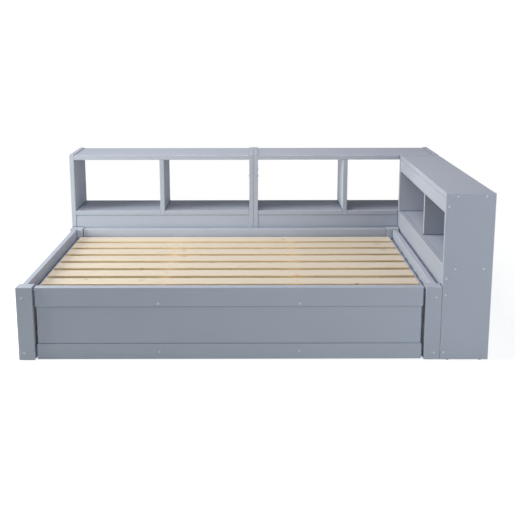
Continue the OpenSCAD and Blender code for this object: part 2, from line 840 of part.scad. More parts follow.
// A cap in its bore: domed where it shows, just below the surface where another piece stands
module cap(domed) {
    translate([0, 0, domed ? -cap_dome : fit]) {
        if (domed) intersection() {
            cylinder(d = cap_d, h = cap_depth + cap_dome, $fn = 32);
            translate([0, 0, dome_r]) sphere(r = dome_r, $fn = 96);
        }
        if (!domed) cylinder(d = cap_d, h = cap_depth, $fn = 32);
    }
}

module corner_caps(long_domed, side_domed) {
    for (i = [0, 1]) {
        translate([0, long_mid, long_bolt_z[i]]) to_right() cap(long_domed);
        translate([side_mid, 0, side_bolt_z[i]]) to_back() cap(side_domed);
    }
}

module front_cross_caps() {
    for (x = beam_x, z = [beam_bolt_z, stretcher_bolt_z])
        translate([x, rail_set, z]) to_back() cap(true);
}

module unit_end_caps(domed) {
    for (y = back_screw_y) translate([0, y, top_mid_z]) to_right() cap(domed);
    for (z = panel_screw_z) translate([0, panel_screw_y, z]) to_right() cap(domed);
}

module side_end_caps(domed) {
    for (p = side_screws) translate([p.x, 0, p.y]) to_back() cap(domed);
}

module bolt_caps() {
    color(paint) placed() {
        corner_caps(true, true);
        from_right() corner_caps(false, true);
        from_back() corner_caps(true, false);
        from_right() from_back() corner_caps(false, false);
        front_cross_caps();
        from_back() front_cross_caps();
        unit_end_caps(true);
        turned() unit_end_caps(false);
        translate([unit_w, 0, 0]) {
            unit_end_caps(false);
            turned() unit_end_caps(true);
        }
        side_end_caps(true);
        from_back() side_end_caps(false);
    }
}

module case_screw() {
    translate([0, 0, cap_depth + cap_air]) cylinder(d = case_head_d, h = case_head_t, $fn = 32);
    translate([0, 0, case_bore]) cylinder(d = case_screw_d, h = case_screw_l, $fn = 32);
}

module unit_end_screws() {
    for (y = back_screw_y) translate([0, y, top_mid_z]) to_right() case_screw();
    for (z = panel_screw_z) translate([0, panel_screw_y, z]) to_right() case_screw();
}

module side_end_screws() {
    for (p = side_screws) translate([p.x, 0, p.y]) to_back() case_screw();
}

module case_screws() {
    color(steel) placed() {
        for (x = [0, unit_w]) translate([x, 0, 0]) {
            unit_end_screws();
            turned() unit_end_screws();
        }
        side_end_screws();
        from_back() side_end_screws();
    }
}

// A countersunk screw along +Z from the surface, its head level with it
module wood_screw(l) {
    cylinder(d = screw_d, h = l, $fn = 24);
    cylinder(d1 = screw_head_d, d2 = screw_d, h = (screw_head_d - screw_d) / 2, $fn = 24);
}

module wood_screws() {
    color(gilt) placed() {
        for (x = slat_screw_x, y = slat_mid)
            translate([x, y, slat_top]) downward() wood_screw(slat_t + short_bite);
        for (y = ledger_screw_y) {
            translate([ledger_in, y, ledger_screw_z]) to_left() wood_screw(ledger_w + short_bite);
            from_right() translate([ledger_in, y, ledger_screw_z])
                to_left() wood_screw(ledger_w + short_bite);
        }
        for (x = [unit_w / 2, unit_w * 1.5]) {
            for (y = shelf_cam_y) translate([x, y, top_z]) downward() wood_screw(board_t + long_bite);
            for (z = divider_screw_z) translate([x, panel_y, z]) to_back() wood_screw(thin_t + short_bite);
        }
        for (y = quarter_y) {
            translate([fascia_mid, y, side_top_z]) downward() wood_screw(board_t + long_bite);
            translate([total_l, y, shelf_mid_z]) to_left() wood_screw(thin_t + short_bite);
        }
        for (x = side_shelf_x) translate([x, bed_w / 2, side_top_z])
            downward() wood_screw(board_t + long_bite);
    }
}

// A cam in the shelf top and the pin that ties it to the upright, drawn from the upright's face
module cam_and_pin() {
    translate([cam_set, 0, board_t / 2]) downward() difference() {
        cylinder(d = cam_d, h = cam_h, $fn = 32);
        translate([-cam_d, 0, board_t / 2]) to_right()
            cylinder(d = pin_d + fit, h = cam_d + pin_d / 2 + fit, $fn = 32);
    }
    translate([-pin_bite, 0, 0]) to_right() cylinder(d = pin_d, h = pin_bite + cam_set, $fn = 32);
}

module shelf_cams() {
    color(gilt) placed() for (u = [0, unit_w], bay = bay_x, y = shelf_cam_y)
        translate([u + bay, y, shelf_mid_z]) {
            cam_and_pin();
            translate([bay_w, 0, 0]) mirror([1, 0, 0]) cam_and_pin();
        }
}

// A sleeve with a head, and the bolt that screws into it from the other unit
module connector() {
    reach = 2 * board_t;
    difference() {
        union() {
            translate([0, 0, -connector_head_t]) cylinder(d = connector_head_d, h = connector_head_t, $fn = 32);
            cylinder(d = bolt_d, h = reach - over, $fn = 32);
        }
        hole(bolt_d - 2 * sleeve_wall, reach);
    }
    translate([0, 0, reach]) cylinder(d = connector_head_d, h = connector_head_t, $fn = 32);
    translate([0, 0, board_t / 2]) cylinder(d = bolt_d - 2 * sleeve_wall - fit, h = reach - board_t / 2, $fn = 32);
}

module unit_connectors() {
    color(steel) placed() for (y = connector_y, z = connector_z)
        translate([unit_w - board_t, y, z]) to_right() connector();
}

// A disc on the floor with a nail up into the wood
module glide() {
    cylinder(d = glide_d, h = glide_t, $fn = 32);
    translate([0, 0, glide_t]) cylinder(d = nail_d, h = nail_l, $fn = 24);
}

module floor_glides() {
    color(plastic) placed() {
        for (x = [post_w / 2, bed_l - post_w / 2], y = [post_w / 2, bed_w - post_w / 2])
            translate([x, y, 0]) glide();
        for (x = beam_x, y = leg_y) translate([x, y, 0]) glide();
        for (u = [0, unit_w], x = [0, board_t + bay_w, unit_w - board_t])
            for (y = [back_y + notch_d + glide_in, total_w - glide_in])
                translate([u + x + board_t / 2, y, 0]) glide();
        for (x = [side_x + glide_in, total_l - glide_in], y = [board_t / 2, bed_w - board_t / 2])
            translate([x, y, 0]) glide();
    }
}

post_front_left();
post_front_right();
post_back_left();
post_back_right();
front_top_rail();
front_panel();
front_bottom_rail();
back_top_rail();
back_bottom_rail();
left_top_rail();
left_panel();
left_bottom_rail();
right_top_rail();
right_bottom_rail();
slat_ledger_left();
slat_ledger_right();
cross_beam_left();
cross_beam_right();
cross_stretcher_left();
cross_stretcher_right();
cross_legs();
slat_1();
slat_2();
slat_3();
slat_4();
slat_5();
slat_6();
slat_7();
slat_8();
back_a_end_left();
back_a_end_right();
back_a_top();
back_a_divider();
back_a_shelf_left();
back_a_shelf_right();
back_a_panel();
back_b_end_left();
back_b_end_right();
back_b_top();
back_b_divider();
back_b_shelf_left();
back_b_shelf_right();
back_b_panel();
side_front_end();
side_rear_end();
side_top();
side_upper_fascia();
side_lower_fascia();
side_lower_panel();
side_shelf();
side_divider();
side_outer_panel();
frame_bolts();
cross_nuts();
bolt_caps();
case_screws();
wood_screws();
shelf_cams();
unit_connectors();
floor_glides();
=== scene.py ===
import math

import bpy
import numpy as np
from mathutils import Euler, Matrix, Vector


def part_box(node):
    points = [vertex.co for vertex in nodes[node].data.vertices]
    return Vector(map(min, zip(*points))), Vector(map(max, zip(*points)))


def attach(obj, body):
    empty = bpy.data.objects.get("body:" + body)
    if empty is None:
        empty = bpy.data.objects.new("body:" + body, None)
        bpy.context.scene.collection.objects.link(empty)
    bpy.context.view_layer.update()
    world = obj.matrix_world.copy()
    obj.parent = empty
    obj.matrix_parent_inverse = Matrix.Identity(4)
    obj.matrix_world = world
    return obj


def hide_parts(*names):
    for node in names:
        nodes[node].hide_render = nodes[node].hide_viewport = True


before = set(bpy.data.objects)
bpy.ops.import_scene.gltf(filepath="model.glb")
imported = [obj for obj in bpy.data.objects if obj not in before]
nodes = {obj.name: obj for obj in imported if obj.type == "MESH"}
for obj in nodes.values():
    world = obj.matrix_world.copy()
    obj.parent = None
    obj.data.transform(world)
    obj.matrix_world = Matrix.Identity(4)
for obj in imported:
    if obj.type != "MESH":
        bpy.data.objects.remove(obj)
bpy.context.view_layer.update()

# Corner posts
# Four square legs of solid pine, 80 mm each way, planed, eased along every edge and sprayed with a
# blue-grey satin paint. Mortises take the rails' tenons, and a bolt holds each rail to its post.
blue_grey = (0.452, 0.478, 0.565, 1.0)
rubbed_grey = (0.640, 0.655, 0.700, 1.0)
# Painted shade: joints and recesses go over to this dark teal grey within the reach below.
painted_shade_grey = (0.100, 0.148, 0.185, 1.0)
paint_relief, paint_sheen = 0.0004, 0.10
painted_shade_reach = 0.008


def put(tree, kind, inputs=None, **settings):
    """Adds one shader node. An input given as a socket is joined to it, and any other is set."""
    node = tree.nodes.new(kind)
    for key, value in settings.items():
        setattr(node, key, value)
    for key, value in (inputs or {}).items():
        if isinstance(value, bpy.types.NodeSocket):
            tree.links.new(value, node.inputs[key])
        else:
            node.inputs[key].default_value = value
    return node


def calc(tree, operation, *values):
    """One step of arithmetic on numbers, as the socket of its result."""
    return put(tree, "ShaderNodeMath", dict(enumerate(values)), operation=operation).outputs[0]


def along(tree, operation, *values):
    """One step of arithmetic on points, as the socket of its result."""
    return put(tree, "ShaderNodeVectorMath", dict(enumerate(values)), operation=operation).outputs[0]


def ramp(tree, value, start, end, first, last):
    """Goes smoothly from first to last as the value goes from start to end, and stays there."""
    inputs = {0: value, 1: start, 2: end, 3: first, 4: last}
    return put(tree, "ShaderNodeMapRange", inputs, interpolation_type="SMOOTHSTEP").outputs[0]


def tint(tree, share, first, second):
    """The first colour, with that share of the second in it."""
    return put(tree, "ShaderNodeMix", {0: share, 6: first, 7: second}, data_type="RGBA").outputs[2]


def same_thrice(tree, value):
    """A point or colour whose three parts are all that value."""
    return put(tree, "ShaderNodeCombineXYZ", {0: value, 1: value, 2: value}).outputs[0]


def cloud(tree, where, scale, detail=2.0):
    """A soft random value around a half, changing over 1 / scale metres."""
    inputs = {"Vector": where, "Scale": scale, "Detail": detail}
    return put(tree, "ShaderNodeTexNoise", inputs).outputs[0]


def finish_group(name, takes, gives):
    """An empty node group with named inputs and outputs, and its two end nodes."""
    tree = bpy.data.node_groups.new(name, "ShaderNodeTree")
    kinds = {"F": "NodeSocketFloat", "V": "NodeSocketVector", "C": "NodeSocketColor"}
    for label, kind in takes.items():
        tree.interface.new_socket(name=label, in_out="INPUT", socket_type=kinds[kind])
    for label, kind in gives.items():
        tree.interface.new_socket(name=label, in_out="OUTPUT", socket_type=kinds[kind])
    return tree, tree.nodes.new("NodeGroupInput").outputs, tree.nodes.new("NodeGroupOutput").inputs


def satin_paint_group():
    """Sprayed paint on one board: its coat is thicker and thinner in soft clouds, the grain stands
    through it as faint lines, and it is rubbed pale along the edges. The distance from an edge is
    the second smallest of the three distances from the board's pairs of faces. Deep in the joints,
    where other faces stand within reach, the colour goes over to a dark teal grey: painted shade."""
    tree, given, gives = finish_group(
        "satin_paint",
        {"Position": "V", "Low": "V", "High": "V", "Grain": "V", "Seed": "F", "Paint": "C", "Rubbed": "C",
         "PaintedShade": "C"},
        {"Color": "C", "Roughness": "F", "Height": "F"})
    here = along(tree, "ADD", given["Position"], same_thrice(tree, given["Seed"]))
    from_low = along(tree, "SUBTRACT", given["Position"], given["Low"])
    from_high = along(tree, "SUBTRACT", given["High"], given["Position"])
    nearest = along(tree, "ABSOLUTE", along(tree, "MINIMUM", from_low, from_high))
    x, y, z = put(tree, "ShaderNodeSeparateXYZ", {0: nearest}).outputs
    edge = calc(tree, "MAXIMUM", calc(tree, "MINIMUM", x, y),
                calc(tree, "MINIMUM", calc(tree, "MAXIMUM", x, y), z))
    coat = cloud(tree, here, 2.6)
    handled = cloud(tree, here, 24.0, 3.0)
    grain = cloud(tree, along(tree, "MULTIPLY", here, given["Grain"]), 1.0, 3.0)
    peel = cloud(tree, here, 380.0, 1.0)
    width = calc(tree, "MULTIPLY_ADD", handled, 0.0052, 0.0004)
    worn = ramp(tree, handled, 0.3, 0.75, 0.12, 0.62)
    rubbed = calc(tree, "MULTIPLY", ramp(tree, edge, 0.0, width, 1.0, 0.0), worn)
    level = calc(tree, "MULTIPLY_ADD", coat, 0.10, 0.95)
    level = calc(tree, "ADD", level, calc(tree, "MULTIPLY_ADD", grain, 0.05, -0.025))
    paint = along(tree, "MULTIPLY", given["Paint"], same_thrice(tree, level))
    # Painted shade: the nearer other faces stand, the more the colour goes over to the dark teal grey.
    free = put(tree, "ShaderNodeAmbientOcclusion", {"Distance": painted_shade_reach}, samples=8).outputs["AO"]
    painted_shade_share = ramp(tree, free, 0.50, 0.99, 0.95, 0.0)
    open_face = tint(tree, rubbed, paint, given["Rubbed"])
    tree.links.new(tint(tree, painted_shade_share, open_face, given["PaintedShade"]), gives["Color"])
    dull = calc(tree, "MULTIPLY_ADD", coat, 0.14, 0.52)
    dull = calc(tree, "ADD", dull, calc(tree, "MULTIPLY_ADD", grain, 0.08, -0.04))
    tree.links.new(calc(tree, "MULTIPLY_ADD", rubbed, -0.08, dull), gives["Roughness"])
    relief = calc(tree, "MULTIPLY_ADD", peel, 0.35, calc(tree, "MULTIPLY", grain, 0.65))
    tree.links.new(relief, gives["Height"])
    return tree


satin_paint = satin_paint_group()


def shader_on(name, group, values, bump, **plain):
    """A material whose colour, roughness and relief come from a finish group. The values are the
    group's own, bump is the depth of its relief in metres, and plain ones go to the shader."""
    material = bpy.data.materials.new(name)
    material.use_nodes = True
    tree = material.node_tree
    shader = tree.nodes["Principled BSDF"]
    for key, value in plain.items():
        shader.inputs[key.replace("_", " ")].default_value = value
    finish = put(tree, "ShaderNodeGroup", node_tree=group)
    for key, value in values.items():
        finish.inputs[key].default_value = value
    where = put(tree, "ShaderNodeTexCoord").outputs["Object"]
    relief = put(tree, "ShaderNodeBump", {"Distance": bump, "Height": finish.outputs["Height"]})
    tree.links.new(where, finish.inputs["Position"])
    tree.links.new(finish.outputs["Color"], shader.inputs["Base Color"])
    tree.links.new(finish.outputs["Roughness"], shader.inputs["Roughness"])
    tree.links.new(relief.outputs[0], shader.inputs["Normal"])
    return material


def dress(name, material):
    """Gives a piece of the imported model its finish."""
    nodes[name].data.materials.clear()
    nodes[name].data.materials.append(material)


def paint_board(name, axis):
    """Paints one board, whose grain runs along the axis, with its own clouds and rubbed edges."""
    low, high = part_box(name)
    grain = Vector((190.0, 190.0, 190.0))
    grain["XYZ".index(axis)] = 5.0
    values = {"Low": low, "High": high, "Grain": grain, "Seed": 7.3 * low.x + 3.9 * low.y + 5.7 * high.z,
              "Paint": blue_grey, "Rubbed": rubbed_grey, "PaintedShade": painted_shade_grey}
    dress(name, shader_on(name + "_paint", satin_paint, values, paint_relief, Specular_IOR_Level=paint_sheen))


for post in ("post_front_left", "post_front_right", "post_back_left", "post_back_right"):
    paint_board(post, "Z")

# Rails and panels of the bed frame
# Planed pine rails with stub tenons in the posts, pulled tight by bolts. In front and at the left end
# a thin panel floats in grooves between the two rails, and reads as a sunk field in its frame.
for board in ("front_top_rail", "front_panel", "front_bottom_rail", "back_top_rail", "back_bottom_rail"):
    paint_board(board, "X")
for board in ("left_top_rail", "left_panel", "left_bottom_rail", "right_top_rail", "right_bottom_rail"):
    paint_board(board, "Y")

# Ledgers
# A planed batten screwed to the inner face of each end rail. The slats lie on it, and it is sprayed
# together with the rail.
for board in ("slat_ledger_left", "slat_ledger_right"):
    paint_board(board, "Y")

# Slats
# Eight flat boards of bare pine, sanded and left unfinished, each cut from its own place in the log,
# so that some show wide arches and others straight lines, with a knot here and there.
pale_wood = (0.780, 0.680, 0.570, 1.0)
summer_wood = (0.640, 0.450, 0.270, 1.0)
knot_wood = (0.330, 0.180, 0.090, 1.0)
# The edge colour brightens and warms the slats' long side faces: painted light, for light bounced between
# them.
slat_edge_light = (1.200, 1.040, 0.760, 1.0)
pine_relief, pine_sheen = 0.0003, 0.12
knot_cells, knot_share, knot_ring = 3.4, 0.22, 0.0014


def bare_pine_group():
    """Growth rings are round a heart line that runs along X under the board and wanders a little.
    A ring's colour rises slowly across its width and falls back at once. Knots are spots in the
    XY plane that go through the board, one in a share of the cells, with so many cells to a metre,
    and the rings bulge round them. The two long side faces, at half the width from the middle, are
    made brighter and warmer by the edge colour: painted light, for the light bounced between slats."""
    tree, given, gives = finish_group(
        "bare_pine",
        {"Position": "V", "Heart": "V", "Ring": "F", "Seed": "F", "Half": "F", "Pale": "C", "Summer": "C",
         "Knot": "C", "EdgeLight": "C"},
        {"Color": "C", "Roughness": "F", "Height": "F"})
    here = along(tree, "ADD", given["Position"], same_thrice(tree, given["Seed"]))
    slow = along(tree, "MULTIPLY", here, (1.0, 0.2, 0.2))
    bend = put(tree, "ShaderNodeTexNoise", {"Vector": slow, "Scale": 0.9, "Detail": 1.0}).outputs["Color"]
    bend = along(tree, "MULTIPLY", along(tree, "SUBTRACT", bend, (0.5, 0.5, 0.5)), (0.0, 0.09, 0.11))
    spot = put(tree, "ShaderNodeTexVoronoi", {"Vector": here, "Scale": knot_cells}, voronoi_dimensions="2D")
    away = calc(tree, "DIVIDE", spot.outputs["Distance"], knot_cells)
    chance, girth, _ = put(tree, "ShaderNodeSeparateColor", {0: spot.outputs["Color"]}).outputs
    knotty = calc(tree, "GREATER_THAN", chance, 1.0 - knot_share)
    radius = calc(tree, "MULTIPLY_ADD", girth, 0.0045, 0.0028)
    reach = calc(tree, "MULTIPLY", radius, 5.0)
    bulge = calc(tree, "MULTIPLY", ramp(tree, away, 0.0, reach, 0.016, 0.0), knotty)
    off = along(tree, "ADD", along(tree, "SUBTRACT", given["Position"], given["Heart"]), bend)
    off = along(tree, "MULTIPLY", off, (0.0, 1.0, 1.0))
    out = put(tree, "ShaderNodeVectorMath", {0: off}, operation="LENGTH").outputs["Value"]
    wavy = cloud(tree, along(tree, "MULTIPLY", here, (3.0, 26.0, 26.0)), 1.0)
    out = calc(tree, "ADD", calc(tree, "MULTIPLY_ADD", wavy, 0.0045, out), bulge)
    years = calc(tree, "DIVIDE", out, given["Ring"])
    part = calc(tree, "FRACT", years)
    year = calc(tree, "ADD", calc(tree, "FLOOR", years), given["Seed"])
    good_year = put(tree, "ShaderNodeTexWhiteNoise", {"W": year}, noise_dimensions="1D").outputs["Value"]
    rise = ramp(tree, part, 0.25, 0.86, 0.0, 1.0)
    late = calc(tree, "MULTIPLY", rise, ramp(tree, part, 0.9, 1.0, 1.0, 0.0))
    late = calc(tree, "MULTIPLY", late, calc(tree, "MULTIPLY_ADD", good_year, 0.32, 0.10))
    fibre = cloud(tree, along(tree, "MULTIPLY", here, (9.0, 620.0, 620.0)), 1.0, 3.0)
    patch = cloud(tree, along(tree, "MULTIPLY", here, (1.2, 9.0, 9.0)), 1.0)
    wood = tint(tree, late, given["Pale"], given["Summer"])
    near = calc(tree, "MULTIPLY", ramp(tree, away, radius, reach, 0.40, 0.0), knotty)
    wood = tint(tree, near, wood, given["Summer"])
    inner = calc(tree, "FRACT", calc(tree, "DIVIDE", away, knot_ring))
    core = ramp(tree, away, calc(tree, "MULTIPLY", radius, 0.8), radius, 1.0, 0.0)
    core = calc(tree, "MULTIPLY", core, knotty)
    core = calc(tree, "MULTIPLY", core, calc(tree, "MULTIPLY_ADD", inner, 0.22, 0.62))
    wood = tint(tree, core, wood, given["Knot"])
    level = calc(tree, "MULTIPLY_ADD", fibre, 0.08, calc(tree, "MULTIPLY_ADD", patch, 0.12, 0.90))
    wood = along(tree, "MULTIPLY", wood, same_thrice(tree, level))
    across = calc(tree, "ABSOLUTE", put(tree, "ShaderNodeSeparateXYZ", {0: given["Position"]}).outputs[1])
    margin = calc(tree, "SUBTRACT", given["Half"], across)
    # Painted light on the two long side faces.
    edge_light = tint(tree, ramp(tree, margin, 0.0003, 0.0012, 1.0, 0.0), (1.0, 1.0, 1.0, 1.0), given["EdgeLight"])
    tree.links.new(along(tree, "MULTIPLY", wood, edge_light), gives["Color"])
    rough = calc(tree, "MULTIPLY_ADD", fibre, 0.16, 0.52)
    tree.links.new(calc(tree, "MULTIPLY_ADD", late, -0.14, rough), gives["Roughness"])
    tree.links.new(calc(tree, "MULTIPLY_ADD", late, 0.5, calc(tree, "MULTIPLY", fibre, 0.5)), gives["Height"])
    return tree


bare_pine = bare_pine_group()


def pine_board(name, axis, heart, ring, seed):
    """Bare pine whose grain runs along the axis. The pattern is turned and centred on the board, and
    heart is how far the log's centre is beside and below the board's own, in metres."""
    low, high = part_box(name)
    turn = Euler({"X": (0, 0, 0), "Y": (0, 0, -math.pi / 2), "Z": (0, math.pi / 2, 0)}[axis])
    values = {"Heart": (0.0, heart[0], -heart[1]), "Ring": ring, "Seed": seed,
              "Half": abs((turn.to_matrix() @ (high - low)).y) / 2,
              "Pale": pale_wood, "Summer": summer_wood, "Knot": knot_wood, "EdgeLight": slat_edge_light}
    material = shader_on(name + "_pine", bare_pine, values, pine_relief, Specular_IOR_Level=pine_sheen)
    tree = material.node_tree
    finish = next(n for n in tree.nodes if n.type == "GROUP")
    where = next(n for n in tree.nodes if n.type == "TEX_COORD").outputs["Object"]
    centred = put(tree, "ShaderNodeMapping", {
        "Vector": where, "Rotation": turn, "Location": -(turn.to_matrix() @ ((low + high) / 2))})
    tree.links.new(centred.outputs[0], finish.inputs["Position"])
    dress(name, material)


ring_width, ring_step = 0.0034, 0.0004
slat_cuts = [(0.010, 0.050), (-0.055, 0.070), (0.030, 0.035), (-0.015, 0.090),
             (0.070, 0.045), (-0.030, 0.060), (0.020, 0.110), (-0.065, 0.040)]
for i, heart in enumerate(slat_cuts):
    pine_board(f"slat_{i + 1}", "X", heart, ring_width + ring_step * (i % 3), 3.1 + 2.37 * i)

# Cross frames
# Two frames stand under the deck. Each has a beam below the slats, a stretcher near the floor and
# two legs tenoned into both, all of planed pine without paint.
for i, side in enumerate(("left", "right")):
    pine_board(f"cross_beam_{side}", "Y", (0.02, 0.05), 0.0038, 31.0 + 4.7 * i)
    pine_board(f"cross_stretcher_{side}", "Y", (-0.03, 0.06), 0.0036, 43.0 + 3.9 * i)
pine_board("cross_legs", "Z", (0.03, 0.06), 0.0040, 57.0)

# Bookcase units behind the bed
# Two like units stand side by side. Each has two full-height ends, a top between them, a divider
# notched over the lower panel, and two shelves butted to the divider and held by cams.
for unit in ("back_a", "back_b"):
    for board in ("end_left", "end_right", "divider"):
        paint_board(f"{unit}_{board}", "Z")
    for board in ("top", "shelf_left", "shelf_right", "panel"):
        paint_board(f"{unit}_{board}", "X")

# Bookcase at the right end
# Its end boards run from floor to top. Between them are the top, two fascias and a panel on the bed
# side, a shelf with a housed divider, and a thin panel that closes the outer side.
for board in ("side_front_end", "side_rear_end", "side_divider"):
    paint_board(board, "Z")
for board in ("side_top", "side_upper_fascia", "side_lower_fascia", "side_lower_panel", "side_shelf",
              "side_outer_panel"):
    paint_board(board, "Y")

# Bolts, cross nuts and case screws
# Turned steel with a bright zinc coat, sunk in counterbores in the posts, rails and end boards. The
# caps cover their heads, and the nuts lie across the bolts inside the rails and cross frames.
zinc = (0.580, 0.590, 0.600, 1.0)
dull_zinc = (0.400, 0.410, 0.430, 1.0)
metal_relief = 0.00004


def plating_group():
    """A plated metal skin: the coat is duller in small clouds, and fine turning marks cross it."""
    tree, given, gives = finish_group(
        "plating", {"Position": "V", "Bright": "C", "Dull": "C"},
        {"Color": "C", "Roughness": "F", "Height": "F"})
    bloom = cloud(tree, given["Position"], 210.0, 3.0)
    marks = cloud(tree, given["Position"], 1500.0, 2.0)
    dulled = ramp(tree, bloom, 0.35, 0.7, 0.0, 1.0)
    tree.links.new(tint(tree, dulled, given["Bright"], given["Dull"]), gives["Color"])
    tree.links.new(calc(tree, "MULTIPLY_ADD", bloom, 0.3, 0.18), gives["Roughness"])
    tree.links.new(marks, gives["Height"])
    return tree


plating = plating_group()
steel_coat = shader_on(
    "zinc_plated_steel", plating, {"Bright": zinc, "Dull": dull_zinc}, metal_relief, Metallic=1.0)
for fitting in ("frame_bolts", "cross_nuts", "case_screws"):
    dress(fitting, steel_coat)

# Floor glides
# Black plastic discs with a nail up into the wood, under the posts, the stretchers, the end boards
# and the dividers of the back units.
glide_black = (0.030, 0.032, 0.036, 1.0)
glide_worn = (0.085, 0.088, 0.092, 1.0)
plastic_relief, groove_shade_reach = 0.00005, 0.003


def moulded_group():
    """Moulded plastic: a fine even grain, with soft duller patches where it has been handled. The
    grooves, where other faces stand within reach, go darker with painted shade."""
    tree, given, gives = finish_group(
        "moulded", {"Position": "V", "Tone": "C", "Patch": "C", "PaintedShade": "C"},
        {"Color": "C", "Roughness": "F", "Height": "F"})
    patch = cloud(tree, given["Position"], 95.0, 3.0)
    grain = cloud(tree, given["Position"], 1900.0, 1.0)
    # Painted shade in the grooves, from how near other faces stand.
    free = put(tree, "ShaderNodeAmbientOcclusion", {"Distance": groove_shade_reach}, samples=8).outputs["AO"]
    tone = tint(tree, ramp(tree, patch, 0.35, 0.75, 0.0, 0.6), given["Tone"], given["Patch"])
    painted_shade_share = ramp(tree, free, 0.35, 0.95, 0.9, 0.0)
    tree.links.new(tint(tree, painted_shade_share, tone, given["PaintedShade"]), gives["Color"])
    tree.links.new(calc(tree, "MULTIPLY_ADD", patch, 0.25, 0.28), gives["Roughness"])
    tree.links.new(grain, gives["Height"])
    return tree


moulded = moulded_group()
dress("floor_glides", shader_on(
    "glide_plastic", moulded, {"Tone": glide_black, "Patch": glide_worn, "PaintedShade": glide_black},
    plastic_relief))

# Countersunk screws
# Hardened steel with a yellow zinc coat: a flat head with a cross recess, a cone under it and a
# rolled thread. They hold the slats, the ledgers, the tops and the thin panels of the bookcases.
gilt_zinc = (1.000, 0.470, 0.075, 1.0)
gilt_shade = (0.690, 0.310, 0.042, 1.0)
gilt_gloss = (1.000, 0.550, 0.130, 1.0)
gilt_coat = shader_on("yellow_zinc_plated", plating, {"Bright": gilt_zinc, "Dull": gilt_shade}, metal_relief,
                      Metallic=1.0, Specular_Tint=gilt_gloss)
screw_shank_r, screw_head_r, screw_length = 0.0020, 0.0045, 0.033
recess_deep, recess_half, recess_reach = 0.0016, 0.00055, 0.0027
thread_pitch, thread_deep, thread_start = 0.002, 0.0004, -0.0045
lower_screw_in, end_screw_in, cam_in = 0.039, 0.028, 0.090
spin_step = math.radians(137.5)
sharp_from = math.radians(35)


def lathe(radius, height, sink=None, twist=None, spokes=24):
    """A closed solid turned about Z. Ring k has that radius and height, and spoke j stands at j parts
    of a full turn, so x = r cos a, y = r sin a and z = h - sink(x, y, k). Each end is a pole on the
    axis. Where twist is given, a ring's radius changes with the angle, as a thread does."""
    turn = np.arange(spokes) * 2 * np.pi / spokes
    r = np.asarray(radius)[:, None] + 0 * turn
    if twist is not None:
        r = r + twist(np.asarray(height)[:, None], turn[None, :])
    x, y = r * np.cos(turn), r * np.sin(turn)
    z = np.asarray(height)[:, None] + 0 * x
    ends = np.array([[0, 0, height[0]], [0, 0, height[-1]]], float)
    if sink is not None:
        z = z - sink(x, y, np.arange(len(radius))[:, None])
        ends[:, 2] -= sink(ends[:, 0], ends[:, 1], np.array([0, len(radius) - 1]))
    points = np.concatenate([np.stack([x, y, z], 2).reshape(-1, 3), ends])
    k, j = np.meshgrid(np.arange(len(radius) - 1), np.arange(spokes), indexing="ij")
    a, b = k * spokes + j, k * spokes + (j + 1) % spokes
    quads = np.stack([a, a + spokes, b + spokes, b], 2).reshape(-1, 4)
    j = np.arange(spokes)
    last = (len(radius) - 1) * spokes
    first_pole, last_pole = len(points) - 2, len(points) - 1
    caps = np.concatenate([np.stack([0 * j + first_pole, j, (j + 1) % spokes], 1),
                           np.stack([0 * j + last_pole, last + (j + 1) % spokes, last + j], 1)])
    return points, quads, caps


def set_in(name, shapes, places, outward, material, node):
    """One mesh with every shape at every place. A shape's +Z is turned to the outward direction
    there, and each copy is spun by a further 137.5 degrees, so that no two recesses line up."""
    points, faces, start = [], [], 0
    for k, (place, axis) in enumerate(zip(places, outward)):
        spin = Vector(axis).to_track_quat("Z", "Y").to_matrix() @ Matrix.Rotation(spin_step * k, 3, "Z")
        for shape, quads, caps in shapes:
            points.append(shape @ np.array(spin).T + np.array(place))
            faces += (quads + start).tolist() + (caps + start).tolist()
            start += len(shape)
    mesh = bpy.data.meshes.new(name)
    mesh.from_pydata(np.concatenate(points).tolist(), [], faces)
    mesh.shade_smooth()
    mesh.set_sharp_from_angle(angle=sharp_from)
    piece = bpy.data.objects.new(name, mesh)
    bpy.context.scene.collection.objects.link(piece)
    mesh.materials.append(material)
    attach(piece, "root")
    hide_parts(node)
    return piece


def cross_recess(x, y, k):
    """Deepest on the axis: two crossed V grooves that run out before the rim of the head."""
    near, far = np.minimum(abs(x), abs(y)), np.maximum(abs(x), abs(y))
    deep = np.clip((recess_half - near) / 0.0004, 0, 1) * np.clip((recess_reach - far) / 0.0012, 0, 1)
    return np.where(k < 8, recess_deep * deep, 0)


def rolled_thread(h, turn):
    """The crest follows a helix, from under the cone to the point."""
    wave = np.abs(((h / thread_pitch + turn / (2 * np.pi)) % 1) * 2 - 1)
    return np.where(h < thread_start, thread_deep * (wave - 1), 0)


def wood_screw(length):
    """The head's rings, its cone, and the threaded shank down to a point, for one screw length."""
    head = [(0.0003, 0), (0.0006, 0), (0.0010, 0), (0.0015, 0), (0.0020, 0), (0.0026, 0), (0.0032, 0),
            (screw_head_r - 0.0003, 0), (screw_head_r, -0.0002), (screw_shank_r, -0.0025)]
    down = -np.linspace(0.004, length - 0.004, 14)
    rings = head + [(screw_shank_r, h) for h in down] + [(0.0006, -length + 0.0005)]
    radius, height = np.array(rings).T
    return lathe(radius, height, cross_recess, rolled_thread)


